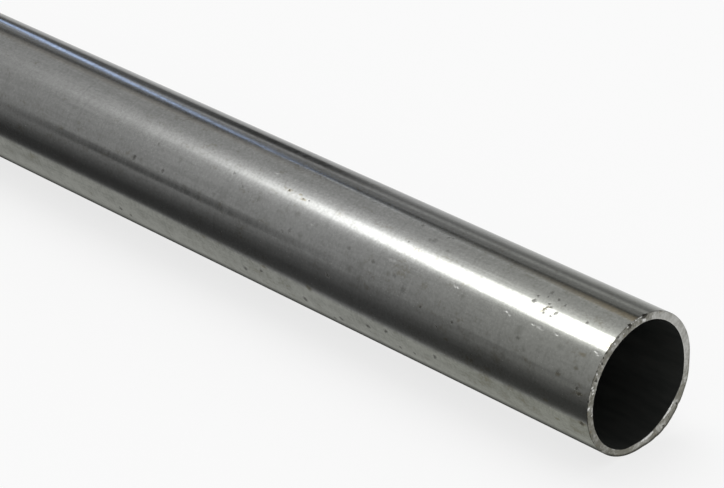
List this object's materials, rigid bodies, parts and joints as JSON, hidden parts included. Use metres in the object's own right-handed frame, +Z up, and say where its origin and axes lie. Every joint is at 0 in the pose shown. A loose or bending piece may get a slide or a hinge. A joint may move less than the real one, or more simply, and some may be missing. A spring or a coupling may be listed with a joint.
{
  "type": "round steel tube",
  "caption": "Straight length of thin-walled round steel tube with a plain bore and square sawn ends, lying on its side.",
  "frame": {"origin": "on the floor line, straight below the middle of the tube's length", "axes": "+X along the tube's axis towards the end that the picture shows, +Z up"},
  "size_m": [1, 0.025, 0.025],
  "materials": {
    "bare_steel": "bright cold-finished mild steel, smooth and half mirror-like along its length, with fine drawing marks, small dark rust pits and a dull dark bore"
  },
  "bodies": {
    "root": {"tube": "bare_steel"}
  },
  "joints": []
}
